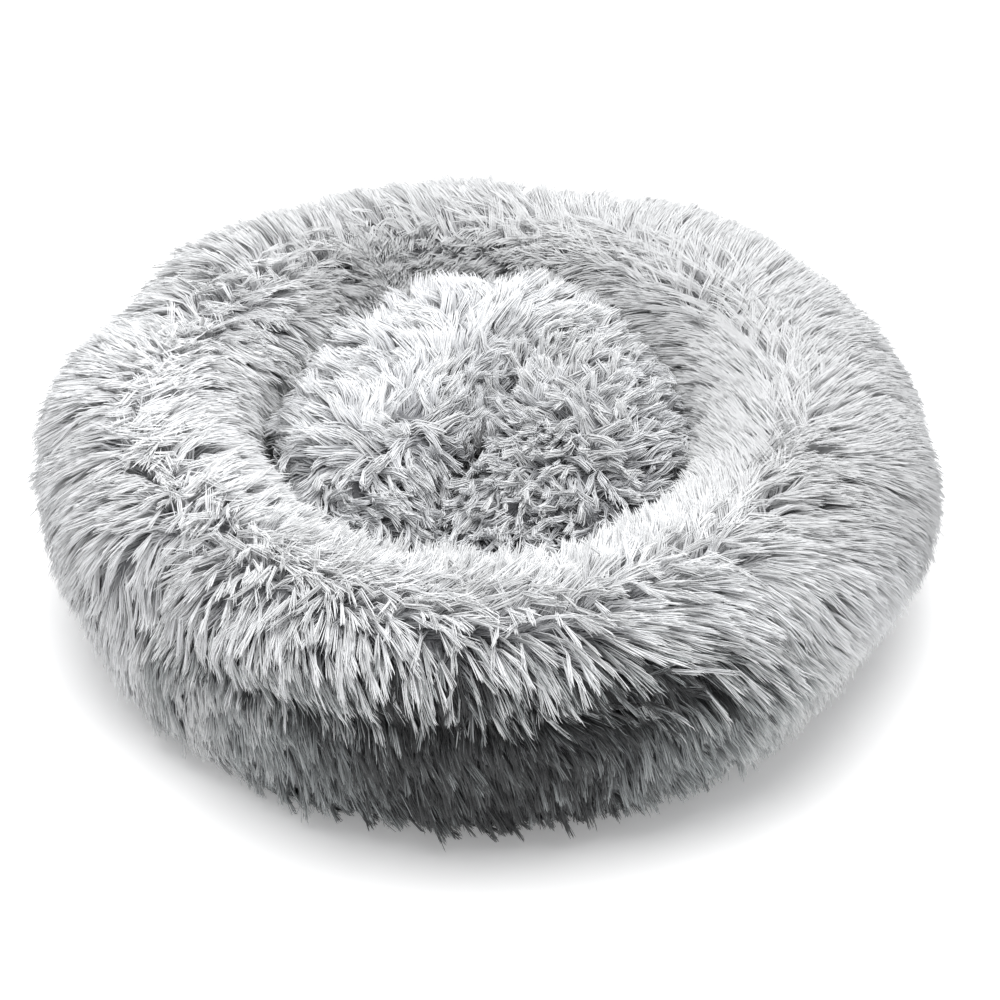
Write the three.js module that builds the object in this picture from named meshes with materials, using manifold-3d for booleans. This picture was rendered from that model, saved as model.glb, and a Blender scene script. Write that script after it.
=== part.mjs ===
// Round faux-fur pet cushion bed: a stuffed fur ring round a domed centre cushion, on a
// two-piece non-slip base that closes with a straight zip. Millimetres, +Z up. The origin is on
// the floor under the middle of the bed, and the front is towards -Y.
import * as THREE from "three";
import { mergeVertices } from "three/addons/utils/BufferGeometryUtils.js";
import Module from "manifold-3d";

// Driving dimensions of the bed, over the fur.
const BED_DIAMETER = 610;
const BED_HEIGHT = 172; // crest of the ring over the floor
const WIDEST_HEIGHT = 108; // the ring overhangs its foot: this is where it is widest
const CREST_RADIUS = 215; // where the ring is highest
const HOLLOW_RADIUS = 140; // the narrowest place inside the ring
const DOME_HEIGHT = 150; // top of the centre cushion, stuffed nearly level with the crest
const DOME_EDGE_HEIGHT = 112; // shoulder of the centre cushion
const DOME_EDGE_RADIUS = 136;

// Materials and fits.
const FUR_DEPTH = 24; // knitted backing and the pile lying on it
const CENTRE_FUR_DEPTH = 20; // the shorter pile on the centre cushion
const LINER_CLOTH = 1.2; // non-woven liner bags
const BASE_CLOTH = 1.5; // coated base cloth with its printed dots
const CLEARANCE = 0.5; // between sewn layers that lie against each other
const FILL_CLEARANCE = 1.5; // between a fibre fill and its liner bag

// The ring's section: round above, a little squarer than a circle.
const SECTION_POWER = 2.2;
const OUTER_HALF_WIDTH = BED_DIAMETER / 2 - CREST_RADIUS;
const INNER_HALF_WIDTH = CREST_RADIUS - HOLLOW_RADIUS;
const SECTION_STEP = 19; // degrees round the section between points, shared by its layers
const FUR_FOOT_ANGLE = -75; // where the ring's fur meets the base, in degrees round the section
const FUR_SEAM_ANGLE = FUR_FOOT_ANGLE + 15 * SECTION_STEP; // where it meets the centre cushion
const LINER_START_ANGLE = FUR_FOOT_ANGLE - SECTION_STEP;
const LINER_END_ANGLE = FUR_SEAM_ANGLE + 2 * SECTION_STEP;

// The base: a flat foot under the ring and a raised middle, which keeps the zip off the floor.
const BASE_RADIUS = 236;
const FOOT_INNER_RADIUS = 196;
const RAISED_RADIUS = 178;
const BASE_LIFT = 10;
const LINER_FLOOR = 3; // underside of the ring's liner
const PAD_FLOOR = 17; // underside of the centre pad

// The zip, along X through the middle of the base.
const ZIP_LENGTH = 330; // toothed length
const ZIP_TAPE_END = 10; // plain tape past the teeth at each end
const ZIP_TAPE_WIDTH = 14;
const ZIP_TAPE_THICKNESS = 0.8;
const ZIP_TAPE_HEIGHT = BASE_LIFT + BASE_CLOTH + CLEARANCE;
const ZIP_SLOT_HALF_WIDTH = 6.5;
const ROW_GAP = 0.5; // from the zip's middle line to a row of teeth
const TOOTH_PITCH = 5;
const TOOTH_REACH = 1.4;
const ROW_OUTER = 3.2; // outer edge of a row, from the middle line
const ROW_THICKNESS = 1.5;
const ROW_HEIGHT = ZIP_TAPE_HEIGHT - 0.3 - ROW_THICKNESS;

const RING_SEGMENTS = 36;

const wasm = await Module();
wasm.setup();

// ---------------------------------------------------------------- helpers

function degrees(angle) {
  return (angle * Math.PI) / 180;
}

function solidOf(geometry) {
  const bare = geometry.clone();
  bare.deleteAttribute("normal");
  bare.deleteAttribute("uv");
  const merged = mergeVertices(bare, 1e-4);
  return new wasm.Manifold(
    new wasm.Mesh({
      numProp: 3,
      vertProperties: merged.attributes.position.array,
      triVerts: new Uint32Array(merged.index.array),
    }),
  );
}

function geometryOf(solid) {
  const mesh = solid.getMesh();
  const geometry = new THREE.BufferGeometry();
  const position = new THREE.BufferAttribute(mesh.vertProperties, mesh.numProp);
  geometry.setAttribute("position", position);
  geometry.setIndex(new THREE.BufferAttribute(mesh.triVerts, 1));
  geometry.computeVertexNormals();
  return geometry;
}

// A box from its lowest to its highest corner.
function boxGeometry(low, high) {
  const size = high.map((value, i) => value - low[i]);
  const middle = high.map((value, i) => (value + low[i]) / 2);
  return new THREE.BoxGeometry(...size).translate(...middle);
}

// A solid of revolution about +Z from [radius, height] points.
function turned(points) {
  const profile = points.map(([radius, height]) => new THREE.Vector2(radius, height));
  const geometry = new THREE.LatheGeometry(profile, RING_SEGMENTS);
  return geometry.rotateX(Math.PI / 2);
}

// The same, for a profile that closes on itself away from the axis.
function turnedLoop(points) {
  return turned([...points, points[0]]);
}

function extruded(shape, low, high, curveSegments = 6) {
  const options = { depth: high - low, bevelEnabled: false, curveSegments };
  return new THREE.ExtrudeGeometry(shape, options).translate(0, 0, low);
}

function union(geometries) {
  const solids = geometries.map(solidOf);
  return geometryOf(solids.reduce((sum, solid) => sum.add(solid)));
}

function piece(name, geometry, material) {
  const mesh = new THREE.Mesh(geometry, material.clone());
  mesh.name = name;
  return mesh;
}

function material(color, roughness, metalness = 0) {
  return new THREE.MeshStandardMaterial({ color, roughness, metalness });
}

// ---------------------------------------------------------------- materials

const PALE_FUR = material(0xd6d9db, 0.95);
const FIBRE = material(0xf2f1ee, 1);
const NON_WOVEN = material(0xe9e9e6, 0.95);
const BASE_FABRIC = material(0x5d6166, 0.85);
const BINDING = material(0x4b4f54, 0.9);
const TAPE = material(0x6b6f74, 0.9);
const TEETH = material(0x55595e, 0.45);
const ZINC = material(0xa9adb2, 0.35, 0.9);
const LABEL = material(0xf4f4f2, 0.8);

// ---------------------------------------------------------------- the ring

// A point on the ring's section: inset shrinks it all round, and lift raises its underside.
function ringPoint(angle, inset, lift) {
  const across = Math.cos(degrees(angle));
  const up = Math.sin(degrees(angle));
  const width = (across > 0 ? OUTER_HALF_WIDTH : INNER_HALF_WIDTH) - inset;
  const height = up > 0 ? BED_HEIGHT - WIDEST_HEIGHT - inset : WIDEST_HEIGHT - lift;
  const power = 2 / SECTION_POWER;
  return [
    CREST_RADIUS + Math.sign(across) * width * Math.abs(across) ** power,
    WIDEST_HEIGHT + Math.sign(up) * height * Math.abs(up) ** power,
  ];
}

function ringArc(from, to, inset, lift) {
  const steps = Math.round(Math.abs(to - from) / SECTION_STEP);
  const points = [];
  for (let i = 0; i <= steps; i++) {
    points.push(ringPoint(from + ((to - from) * i) / steps, inset, lift));
  }
  return points;
}

// A layer of the ring, open at its underside: out along the outer face, back along the inner.
function ringLayer(from, to, outer, inner) {
  const outside = ringArc(from, to, outer.inset, outer.lift);
  const inside = ringArc(to, from, inner.inset, inner.lift);
  return turnedLoop([...outside, ...inside]);
}

function furRingCover() {
  const outer = { inset: 0, lift: 0 };
  const inner = { inset: FUR_DEPTH, lift: LINER_FLOOR - CLEARANCE };
  return ringLayer(FUR_FOOT_ANGLE, FUR_SEAM_ANGLE, outer, inner);
}

const LINER_OUTSIDE = { inset: FUR_DEPTH + CLEARANCE, lift: LINER_FLOOR };
const LINER_INSIDE = {
  inset: LINER_OUTSIDE.inset + LINER_CLOTH,
  lift: LINER_FLOOR + LINER_CLOTH,
};

// The liner's filling slit runs round its underside.
function ringLiner() {
  return ringLayer(LINER_START_ANGLE, LINER_END_ANGLE, LINER_OUTSIDE, LINER_INSIDE);
}

function ringFill() {
  const inset = LINER_INSIDE.inset + FILL_CLEARANCE;
  const lift = LINER_INSIDE.lift + FILL_CLEARANCE;
  const loop = ringArc(0, 360, inset, lift);
  loop.pop();
  return turnedLoop(loop);
}

// ---------------------------------------------------------------- the centre cushion

const DOME_POWER = 2.4; // flat-topped, and steep at its shoulder
const DOME_STEPS = 6;

// The cushion's dome from its shoulder up to the axis.
function dome(radius, edgeHeight, topHeight) {
  const points = [];
  for (let i = 0; i <= DOME_STEPS; i++) {
    const share = 1 - i / DOME_STEPS;
    const rise = 1 - share ** DOME_POWER;
    points.push([radius * share, edgeHeight + (topHeight - edgeHeight) * rise]);
  }
  return points;
}

const PAD_RADIUS = DOME_EDGE_RADIUS - CENTRE_FUR_DEPTH;
const PAD_TOP = DOME_HEIGHT - CENTRE_FUR_DEPTH;
const PAD_SHOULDER = DOME_EDGE_HEIGHT - CENTRE_FUR_DEPTH / 2;
const CENTRE_HEM_RADIUS = DOME_EDGE_RADIUS + 10;
const CENTRE_HEM_HEIGHT = 46;

function furCentreCover() {
  const outside = dome(DOME_EDGE_RADIUS, DOME_EDGE_HEIGHT, DOME_HEIGHT);
  const inside = dome(PAD_RADIUS, PAD_SHOULDER, PAD_TOP).reverse();
  return turned([
    ...inside,
    [CENTRE_HEM_RADIUS - 6, CENTRE_HEM_HEIGHT],
    [CENTRE_HEM_RADIUS, CENTRE_HEM_HEIGHT],
    ...outside,
  ]);
}

// The pad's section at a distance inside the fur cover, from a bottom point to the axis.
function padOutline(inset, bottom) {
  const radius = PAD_RADIUS + 6 - inset;
  return [
    bottom,
    [radius - 6, PAD_FLOOR + inset],
    [radius, PAD_FLOOR + 7 + inset],
    [radius - 2, CENTRE_HEM_HEIGHT],
    ...dome(PAD_RADIUS - CLEARANCE - inset, PAD_SHOULDER - 1 - inset, PAD_TOP - 1 - inset),
  ];
}

const PAD_MOUTH_RADIUS = 25; // the filling mouth in the liner's underside

function centreLiner() {
  const outside = padOutline(0, [PAD_MOUTH_RADIUS, PAD_FLOOR]);
  const inside = padOutline(LINER_CLOTH, [PAD_MOUTH_RADIUS, PAD_FLOOR + LINER_CLOTH]).reverse();
  return turned([...inside, ...outside]);
}

function centreFill() {
  const inset = LINER_CLOTH + FILL_CLEARANCE;
  return turned(padOutline(inset, [0, PAD_FLOOR + inset]));
}

// Cotton tape over the seam that joins the ring's fur to the centre cushion's.
function centreSeamTape() {
  const top = CENTRE_HEM_HEIGHT - 1;
  return turnedLoop([
    [CENTRE_HEM_RADIUS - 4, top - 3],
    [CENTRE_HEM_RADIUS + 6, top - 3],
    [CENTRE_HEM_RADIUS + 6, top],
    [CENTRE_HEM_RADIUS - 4, top],
  ]);
}

// ---------------------------------------------------------------- the base

function baseDisc() {
  const top = BASE_LIFT + BASE_CLOTH;
  return turned([
    [0, BASE_LIFT],
    [RAISED_RADIUS, BASE_LIFT],
    [FOOT_INNER_RADIUS, 0],
    [BASE_RADIUS, 0],
    [BASE_RADIUS, BASE_CLOTH],
    [FOOT_INNER_RADIUS + 0.5, BASE_CLOTH],
    [RAISED_RADIUS + 0.5, top],
    [0, top],
  ]);
}

// Half of the base: side is -1 for the front panel and 1 for the rear one.
function basePanel(side) {
  const slotEnd = ZIP_LENGTH / 2 + ZIP_TAPE_END - 3;
  const slot = boxGeometry(
    [-slotEnd, -ZIP_SLOT_HALF_WIDTH, 0],
    [slotEnd, ZIP_SLOT_HALF_WIDTH, BASE_LIFT * 2],
  );
  const seam = 0.2;
  const otherHalf = boxGeometry(
    [-BED_DIAMETER, side > 0 ? -BED_DIAMETER : -seam, -1],
    [BED_DIAMETER, side > 0 ? seam : BED_DIAMETER, BASE_LIFT * 2],
  );
  const disc = solidOf(baseDisc());
  return geometryOf(disc.subtract(solidOf(slot)).subtract(solidOf(otherHalf)));
}

// The binding round the edge of the base, between it and the fur.
function baseEdgeBinding() {
  const inner = BASE_RADIUS + CLEARANCE;
  return turnedLoop([
    [inner, 0.2],
    [inner + 3.5, 0.2],
    [inner + 3.5, 2],
    [inner, 2],
  ]);
}

function careLabel() {
  const start = ZIP_SLOT_HALF_WIDTH + 1;
  return boxGeometry([90, start, BASE_LIFT - 0.9], [120, start + 45, BASE_LIFT - 0.4]);
}

// ---------------------------------------------------------------- the zip

function zipTape(side) {
  const half = ZIP_LENGTH / 2 + ZIP_TAPE_END;
  const near = ROW_GAP;
  const far = ROW_GAP + ZIP_TAPE_WIDTH;
  const top = ZIP_TAPE_HEIGHT + ZIP_TAPE_THICKNESS;
  return boxGeometry(
    [-half, side > 0 ? near : -far, ZIP_TAPE_HEIGHT],
    [half, side > 0 ? far : -near, top],
  );
}

// A row of moulded teeth on its cord: a comb whose teeth point at the middle line.
function zipTeeth(side) {
  const half = ZIP_LENGTH / 2;
  const root = ROW_GAP + TOOTH_REACH;
  const comb = new THREE.Shape();
  comb.moveTo(-half, side * ROW_OUTER);
  comb.lineTo(-half, side * root);
  const shift = side > 0 ? TOOTH_PITCH / 2 : 0;
  for (let x = -half + shift + 1; x + TOOTH_PITCH / 2 < half; x += TOOTH_PITCH) {
    comb.lineTo(x, side * root);
    comb.lineTo(x + 0.2, side * ROW_GAP);
    comb.lineTo(x + TOOTH_PITCH / 2 - 0.2, side * ROW_GAP);
    comb.lineTo(x + TOOTH_PITCH / 2, side * root);
  }
  comb.lineTo(half, side * root);
  comb.lineTo(half, side * ROW_OUTER);
  return extruded(comb, ROW_HEIGHT, ROW_HEIGHT + ROW_THICKNESS);
}

const SLIDER_LENGTH = 14;
const SLIDER_NOSE_WIDTH = 9.6;
const SLIDER_TAIL_WIDTH = 8.4;
const SLIDER_PLATE = 1.2;
const SLIDER_LOWER = ROW_HEIGHT - 0.6 - SLIDER_PLATE; // underside of the outer plate
const SLIDER_UPPER = ZIP_TAPE_HEIGHT + ZIP_TAPE_THICKNESS + 0.6;
const STOP_LENGTH = 2.5;
const SLIDER_REST_X = ZIP_LENGTH / 2 - SLIDER_LENGTH / 2 - 1; // closed, against the top stops

// A slider plate: wider at its nose, towards +X, with round corners.
function sliderPlate(low, high) {
  const half = SLIDER_LENGTH / 2;
  const nose = SLIDER_NOSE_WIDTH / 2;
  const tail = SLIDER_TAIL_WIDTH / 2;
  const outline = new THREE.Shape();
  outline.moveTo(-half, -tail + 1.5);
  outline.quadraticCurveTo(-half, -tail, -half + 1.5, -tail);
  outline.lineTo(half - 3, -nose);
  outline.quadraticCurveTo(half, -nose, half, -nose + 3);
  outline.lineTo(half, nose - 3);
  outline.quadraticCurveTo(half, nose, half - 3, nose);
  outline.lineTo(-half + 1.5, tail);
  outline.quadraticCurveTo(-half, tail, -half, tail - 1.5);
  outline.closePath();
  return extruded(outline, low, high, 4);
}

// The pull's pivot bar passes through the bail's window, below the outer plate.
const BAIL_HALF_LENGTH = 2.6;
const BAIL_BAR = 1.2;
const BAIL_HALF_WIDTH = 0.8;
const BAIL_DROP = 3.8;
const PULL_THICKNESS = 1.2;
const PULL_PIVOT_HEIGHT = SLIDER_LOWER - 1.3;

function sliderBail() {
  const bottom = SLIDER_LOWER - BAIL_DROP;
  const legs = [-1, 1].map((side) => {
    const outer = side * BAIL_HALF_LENGTH;
    const inner = side * (BAIL_HALF_LENGTH - BAIL_BAR);
    return boxGeometry(
      [Math.min(outer, inner), -BAIL_HALF_WIDTH, bottom],
      [Math.max(outer, inner), BAIL_HALF_WIDTH, SLIDER_LOWER + 0.2],
    );
  });
  const bar = boxGeometry(
    [-BAIL_HALF_LENGTH, -BAIL_HALF_WIDTH, bottom],
    [BAIL_HALF_LENGTH, BAIL_HALF_WIDTH, bottom + BAIL_BAR],
  );
  return [...legs, bar];
}

function zipSlider() {
  const web = boxGeometry([-2, -0.2, SLIDER_LOWER], [5.5, 0.2, SLIDER_UPPER + SLIDER_PLATE]);
  const flanges = [-1, 1].map((side) => {
    const inner = side * (ROW_OUTER + 0.4);
    const outer = (side * SLIDER_TAIL_WIDTH) / 2;
    return boxGeometry(
      [-SLIDER_LENGTH / 2 + 1, Math.min(inner, outer), SLIDER_LOWER],
      [SLIDER_LENGTH / 2 - 2, Math.max(inner, outer), ZIP_TAPE_HEIGHT - 0.6],
    );
  });
  return union([
    sliderPlate(SLIDER_LOWER, SLIDER_LOWER + SLIDER_PLATE),
    sliderPlate(SLIDER_UPPER, SLIDER_UPPER + SLIDER_PLATE),
    web,
    ...flanges,
    ...sliderBail(),
  ]).translate(SLIDER_REST_X, 0, 0);
}

const PULL_LENGTH = 25;
const PULL_HALF_WIDTH = 3.4;
const PULL_WINDOW_LENGTH = 5;
const PULL_WINDOW_HALF_WIDTH = 1.4;

// The pull lies flat towards the closed teeth, its pivot bar at x = 0 before it is placed.
function zipPullTab() {
  const bar = PULL_THICKNESS / 2;
  const outline = new THREE.Shape();
  outline.moveTo(bar, -PULL_HALF_WIDTH + 0.8);
  outline.lineTo(bar, PULL_HALF_WIDTH - 0.8);
  outline.lineTo(-3, PULL_HALF_WIDTH - 0.8);
  outline.lineTo(-PULL_LENGTH + 4, PULL_HALF_WIDTH);
  outline.quadraticCurveTo(-PULL_LENGTH, PULL_HALF_WIDTH, -PULL_LENGTH, 0);
  outline.quadraticCurveTo(-PULL_LENGTH, -PULL_HALF_WIDTH, -PULL_LENGTH + 4, -PULL_HALF_WIDTH);
  outline.lineTo(-3, -PULL_HALF_WIDTH + 0.8);
  outline.closePath();
  const window = new THREE.Path();
  window.moveTo(-bar, -PULL_WINDOW_HALF_WIDTH);
  window.lineTo(-bar - PULL_WINDOW_LENGTH, -PULL_WINDOW_HALF_WIDTH);
  window.lineTo(-bar - PULL_WINDOW_LENGTH, PULL_WINDOW_HALF_WIDTH);
  window.lineTo(-bar, PULL_WINDOW_HALF_WIDTH);
  window.closePath();
  const rim = new THREE.EllipseCurve(-PULL_LENGTH + 4.5, 0, 1.4, 1.4).getPoints(14);
  const eye = new THREE.Path(rim.slice(1));
  outline.holes.push(window, eye);
  const low = PULL_PIVOT_HEIGHT - bar;
  return extruded(outline, low, low + PULL_THICKNESS).translate(SLIDER_REST_X, 0, 0);
}

// A crimped stop past the end of a row, at the closed end.
function zipTopStop(side) {
  const start = ZIP_LENGTH / 2 + 0.4;
  const near = side * ROW_GAP;
  const far = side * ROW_OUTER;
  return boxGeometry(
    [start, Math.min(near, far), ROW_HEIGHT],
    [start + STOP_LENGTH, Math.max(near, far), ROW_HEIGHT + ROW_THICKNESS],
  );
}

// The box stop that holds both rows together at the open end.
function zipBottomStop() {
  const start = -ZIP_LENGTH / 2 - 0.4;
  return boxGeometry(
    [start - STOP_LENGTH, -ROW_OUTER, ROW_HEIGHT],
    [start, ROW_OUTER, ROW_HEIGHT + ROW_THICKNESS],
  );
}

// ---------------------------------------------------------------- the assembly

const ring = new THREE.Group();
ring.add(
  piece("fur_ring_cover", furRingCover(), PALE_FUR),
  piece("ring_liner", ringLiner(), NON_WOVEN),
  piece("ring_fill", ringFill(), FIBRE),
);

const centre = new THREE.Group();
centre.add(
  piece("fur_centre_cover", furCentreCover(), PALE_FUR),
  piece("centre_liner", centreLiner(), NON_WOVEN),
  piece("centre_fill", centreFill(), FIBRE),
  piece("centre_seam_tape", centreSeamTape(), BINDING),
);

const base = new THREE.Group();
base.add(
  piece("base_panel_front", basePanel(-1), BASE_FABRIC),
  piece("base_panel_rear", basePanel(1), BASE_FABRIC),
  piece("base_edge_binding", baseEdgeBinding(), BINDING),
  piece("care_label", careLabel(), LABEL),
);

const zip = new THREE.Group();
zip.add(
  piece("zip_tape_front", zipTape(-1), TAPE),
  piece("zip_tape_rear", zipTape(1), TAPE),
  piece("zip_teeth_front", zipTeeth(-1), TEETH),
  piece("zip_teeth_rear", zipTeeth(1), TEETH),
  piece("zip_top_stop_front", zipTopStop(-1), ZINC),
  piece("zip_top_stop_rear", zipTopStop(1), ZINC),
  piece("zip_bottom_stop", zipBottomStop(), ZINC),
  piece("zip_slider", zipSlider(), ZINC),
  piece("zip_pull_tab", zipPullTab(), ZINC),
);

const bed = new THREE.Group();
bed.add(ring, centre, base, zip);

export default bed;
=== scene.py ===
import math
from collections import namedtuple
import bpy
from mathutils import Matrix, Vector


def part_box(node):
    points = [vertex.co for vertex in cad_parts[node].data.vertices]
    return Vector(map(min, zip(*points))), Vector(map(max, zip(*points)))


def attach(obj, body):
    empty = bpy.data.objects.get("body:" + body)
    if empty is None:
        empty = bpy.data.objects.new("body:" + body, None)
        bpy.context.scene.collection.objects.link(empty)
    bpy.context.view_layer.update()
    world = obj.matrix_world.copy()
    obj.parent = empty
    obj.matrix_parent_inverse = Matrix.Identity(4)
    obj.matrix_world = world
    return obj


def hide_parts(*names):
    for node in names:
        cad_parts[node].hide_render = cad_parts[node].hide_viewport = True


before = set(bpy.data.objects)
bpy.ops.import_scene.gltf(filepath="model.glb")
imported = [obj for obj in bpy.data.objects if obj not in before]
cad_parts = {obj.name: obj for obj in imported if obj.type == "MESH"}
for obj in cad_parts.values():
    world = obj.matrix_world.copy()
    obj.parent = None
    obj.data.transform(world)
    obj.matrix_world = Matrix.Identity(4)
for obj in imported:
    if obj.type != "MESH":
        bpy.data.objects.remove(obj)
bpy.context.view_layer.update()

from types import SimpleNamespace

import bpy
import numpy as np
from mathutils import Vector
from mathutils.bvhtree import BVHTree

# ---------- driving sizes, metres

RING_HIGH = np.array(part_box("fur_ring_cover")[1])
OUTER_RADIUS = RING_HIGH[0]
CREST_HEIGHT = RING_HIGH[2]
CREST_RADIUS = 0.705 * OUTER_RADIUS
HOLLOW_RADIUS = 0.459 * OUTER_RADIUS
CORE_HEIGHT = 0.63 * CREST_HEIGHT  # the ring is widest here
CORE_X = -0.006  # the crest stands a little left of the foot
FOOT_HEIGHT = 0.003  # the ring's backing over the floor
RING_LAY = 0.022  # how far the pile stands over the ring's backing when it lies down
MEAN_LAY = 0.85 * RING_LAY  # and how far it does on the crest and in the hollow
PAD_LAY = 0.014
HIGHEST = CREST_HEIGHT + 0.011  # no lock stands higher
TOP_LIMIT = CREST_HEIGHT + 0.014  # nor any stray strand
OFF_FLOOR = 0.0005
TURN = 2 * math.pi
DEG = math.pi / 180

rng = np.random.default_rng(7)

# ---------- small maths


def wave_noise(points, scale, seed, octaves):
    """Smooth noise in about -1..1: sums of sines in seeded directions."""
    source = np.random.default_rng(seed)
    total = np.zeros(len(points))
    weight = 0.0
    for octave in range(octaves):
        size = scale / 2**octave
        share = 0.6**octave
        for _ in range(5):
            direction = unit(source.normal(size=3))
            phase = source.uniform(0, TURN)
            stretch = source.uniform(0.7, 1.4)
            total += share * np.sin(points @ direction * (TURN / size * stretch) + phase)
        weight += share * 5**0.5
    return total / weight * 1.2


def unit(vectors):
    return vectors / np.maximum(np.linalg.norm(vectors, axis=-1, keepdims=True), 1e-12)


def smooth(x, low, high):
    t = np.clip((x - low) / (high - low), 0, 1)
    return t * t * (3 - 2 * t)


def superellipse(across, up, width, height, power):
    """How far its rim is from its middle in the direction across, up."""
    shape = (np.abs(across) / width) ** power + (np.abs(up) / height) ** power
    return shape ** (-1 / power)


def turn_gap(a, b):
    """Signed difference of two angles."""
    return (a - b + math.pi) % TURN - math.pi


def bump(angle, middle, spread):
    """1 at the middle, falling to nothing on both sides; middle and spread in degrees."""
    return np.exp(-((turn_gap(angle, middle * DEG) / (spread * DEG)) ** 2))


def bumps(theta, table):
    """What a table of middles, spreads (degrees) and heights adds up to."""
    return sum(height * bump(theta, middle, spread) for middle, spread, height in table)


# ---------- the ring's shape

# Creases: azimuth and its spread, section angle and its spread (degrees), depth, slant.
CREASES = (
    (265, 45, 9, 11, 0.024, 0.0),
    (262, 60, -38, 30, 0.018, 0.0),
    (325, 25, -50, 25, 0.006, 0.0),
    (289, 8, 2, 10, 0.016, 0.0),
    (221, 5, 22, 32, 0.020, 0.0),
    (354, 5, 45, 22, 0.006, 0.4),
    (112, 6, 120, 32, 0.006, 0.0),
    (150, 7, 135, 25, 0.010, 0.0),
    (60, 8, 140, 25, 0.006, 0.0),
    (185, 40, -12, 12, 0.010, 0.0),
)

SECTION_POWER = 2.2  # of the section's superellipse, a little squarer than round
LUMP_SIZE, LUMP_HEIGHT = 0.16, 0.0035  # the filling's unevenness

# The bed's outline is an oval: waves round it, and the cosine and sine share of each.
OVAL_WAVES = ((1, 0.087, 0.069), (2, 0.014, -0.021))
# Where it leaves that oval: azimuth, spread (degrees), how far out.
OUTLINE_BULGES = (
    (348, 12, -0.003), (155, 18, -0.013), (192, 24, -0.006), (315, 16, 0.004), (52, 14, 0.005),
    (95, 35, -0.006), (6, 16, 0.006), (122, 12, 0.005),
)
# Where the ring's wall stands further into the hollow, which reaches further back than forward.
WALL_BULGES = ((90, 50, -0.019), (205, 35, 0.010), (265, 40, 0.010))


def outer_half_width(theta):
    oval = 1
    for waves, cosine, sine in OVAL_WAVES:
        oval = oval + cosine * np.cos(waves * theta) + sine * np.sin(waves * theta)
    return (OUTER_RADIUS - CREST_RADIUS) * oval + bumps(theta, OUTLINE_BULGES)


def inner_half_width(theta):
    return CREST_RADIUS - HOLLOW_RADIUS + bumps(theta, WALL_BULGES)


def crease_depth(theta, phi):
    depth = 0
    for azimuth, spread, angle, reach, deep, slant in CREASES:
        off = turn_gap(theta, azimuth * DEG)
        along = (turn_gap(phi, angle * DEG) - slant * off) / (reach * DEG)
        depth = depth + deep * np.exp(-((off / (spread * DEG)) ** 2) - along**2)
    return depth


def ring_radius(theta, phi):
    """Distance of the ring's backing from its core circle at azimuth theta, section angle phi."""
    across, up = np.cos(phi), np.sin(phi)
    outer, inner = outer_half_width(theta) - RING_LAY, inner_half_width(theta) - MEAN_LAY
    above, below = CREST_HEIGHT - CORE_HEIGHT - MEAN_LAY, CORE_HEIGHT - FOOT_HEIGHT
    radius = superellipse(
        across, up, np.where(across > 0, outer, inner), np.where(up > 0, above, below), SECTION_POWER
    )
    radius = radius - crease_depth(theta, phi)
    lumps = wave_noise(ring_point(theta, phi, radius).reshape(-1, 3), LUMP_SIZE, 11, 2)
    to_foot = below / np.maximum(-up, 0.01)
    return np.minimum(radius + LUMP_HEIGHT * lumps.reshape(radius.shape), to_foot)


def ring_point(theta, phi, radius):
    out = CREST_RADIUS + radius * np.cos(phi)
    x = out * np.cos(theta) + CORE_X
    return np.stack([x, out * np.sin(theta), CORE_HEIGHT + radius * np.sin(phi)], axis=-1)


# ---------- the centre cushion's shape

PAD_CORE = np.array([0.004, 0.012, 0.098])
PAD_RADIUS = 0.94 * HOLLOW_RADIUS - 0.004
PAD_RISE = 0.043
PAD_DROP = 0.076
PAD_POWER = 2.4
PAD_TILT = 0.15  # it rises towards the back
PAD_BULGES = ((90, 60, 0.024), (262, 50, 0.008))  # and reaches further back: as WALL_BULGES
PAD_SEAM = 0.03  # lobes and tilt fade in from this far below the core to this far above it

# Soft lobes of the filling: middle x, y, spread, height.
PAD_LOBES = (
    (0.083, -0.014, 0.042, 0.010),
    (-0.067, -0.003, 0.045, 0.008),
    (0.029, 0.120, 0.060, 0.013),
)
# The valley between them, back to front: x, y, half width, depth.
PAD_VALLEY = (
    (0.024, 0.072, 0.012, 0.010),
    (0.006, 0.030, 0.015, 0.022),
    (-0.012, -0.015, 0.018, 0.028),
    (-0.022, -0.055, 0.020, 0.028),
    (-0.028, -0.100, 0.026, 0.024),
)


def pad_lobes(x, y):
    rise = np.zeros_like(x)
    for at_x, at_y, spread, height in PAD_LOBES:
        rise += height * np.exp(-((x - at_x) ** 2 + (y - at_y) ** 2) / spread**2)
    fall = np.zeros_like(x)
    for (x0, y0, w0, d0), (x1, y1, w1, d1) in zip(PAD_VALLEY, PAD_VALLEY[1:]):
        span = (x1 - x0) ** 2 + (y1 - y0) ** 2
        t = np.clip(((x - x0) * (x1 - x0) + (y - y0) * (y1 - y0)) / span, 0, 1)
        gap = np.hypot(x - x0 - t * (x1 - x0), y - y0 - t * (y1 - y0))
        fall = np.maximum(fall, (d0 + t * (d1 - d0)) * np.exp(-((gap / (w0 + t * (w1 - w0))) ** 2)))
    return rise - fall


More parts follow.
